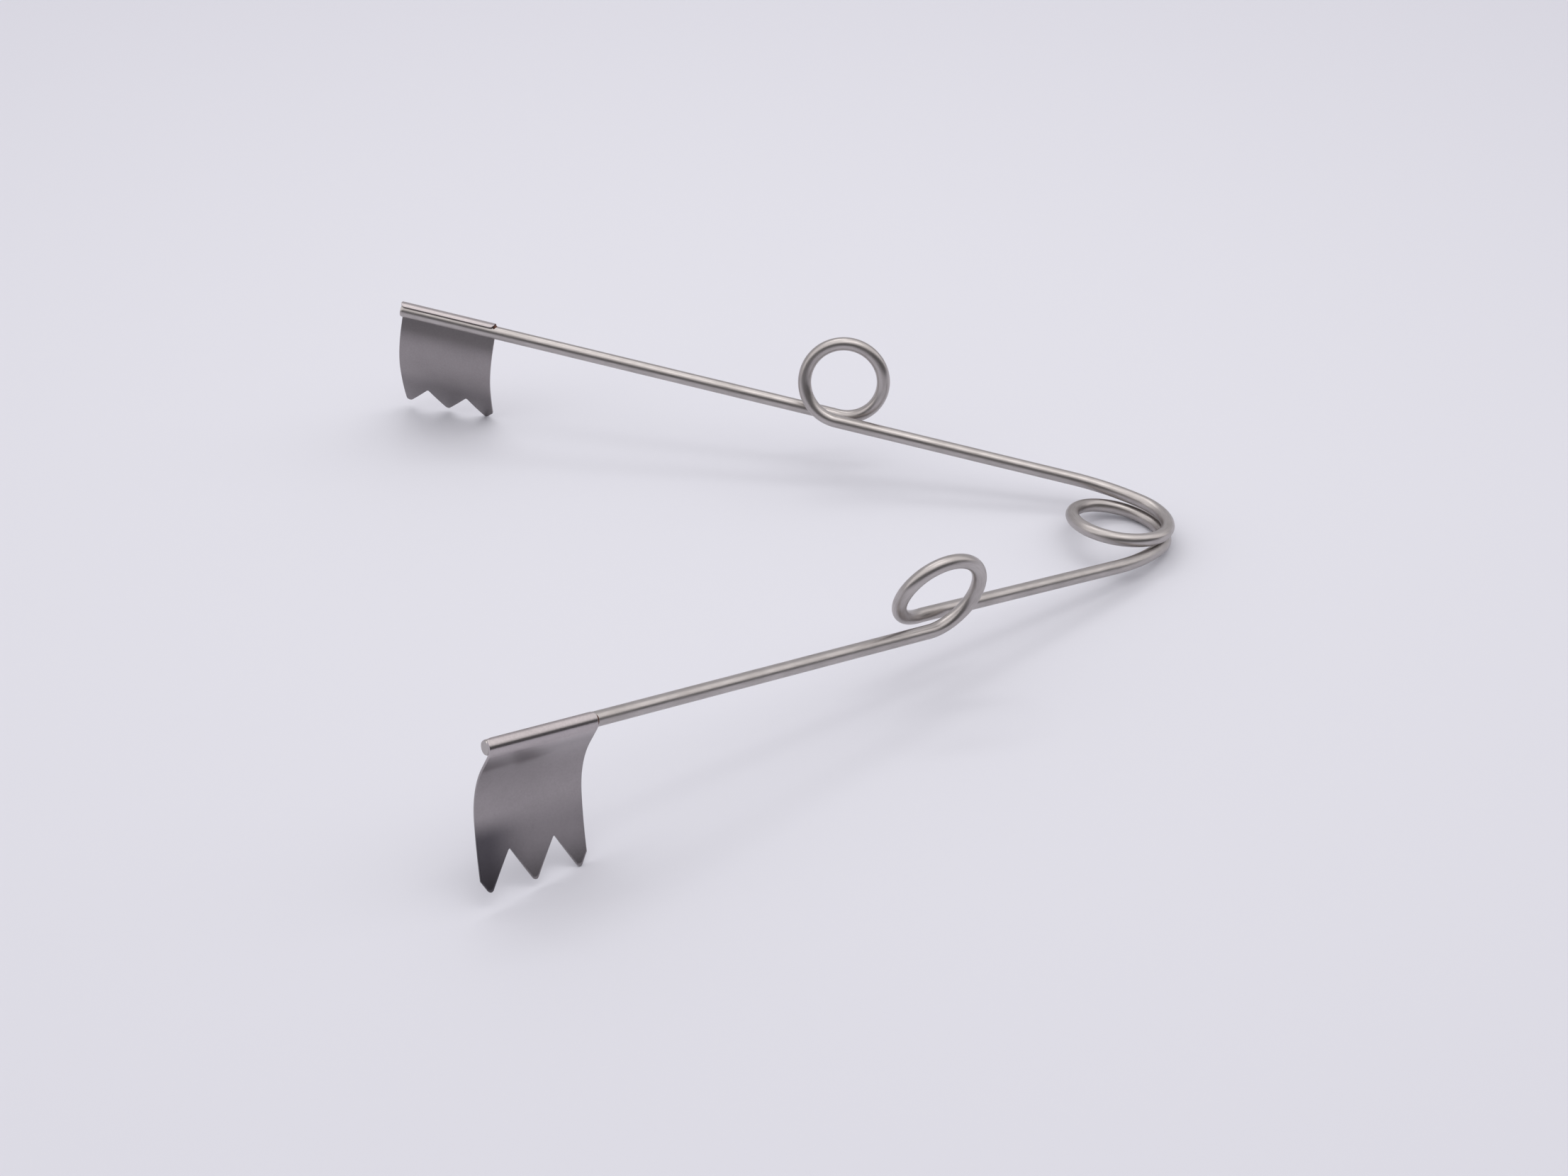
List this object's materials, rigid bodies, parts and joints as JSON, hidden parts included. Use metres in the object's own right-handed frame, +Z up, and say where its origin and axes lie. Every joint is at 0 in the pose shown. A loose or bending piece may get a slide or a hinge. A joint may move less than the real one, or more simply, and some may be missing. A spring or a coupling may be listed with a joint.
{
  "type": "vascular retractor",
  "caption": "Small self-retaining retractor: a sprung wire with an apex coil, a ring in each arm and a toothed sheet blade folded over each end.",
  "frame": {"origin": "centre of the box's bottom face, on the surface that the retractor stands on", "axes": "+Z up, +X towards the apex coil, +Y towards the far arm, across the spread of the arms"},
  "size_m": [0.0825, 0.0908, 0.0176],
  "materials": {
    "spring_wire": "satin",
    "blade_sheet": "satin",
    "braze": "matt"
  },
  "bodies": {
    "near_side": {"near_arm": "spring_wire", "apex_coil": "spring_wire", "near_blade": "blade_sheet", "near_braze": "braze"},
    "far_side": {"far_arm": "spring_wire", "far_blade": "blade_sheet", "far_braze": "braze"}
  },
  "joints": [
    {"name": "apex_spring", "type": "hinge", "parent": "near_side", "child": "far_side", "pos_m": [0.03515, -0.0008, 0.00264], "axis": [0.1896, 0.0824, 0.9784], "range_deg": [0, 58], "stiffness_Nm_per_rad": 0.49, "deforming": ["apex_coil"]}
  ]
}
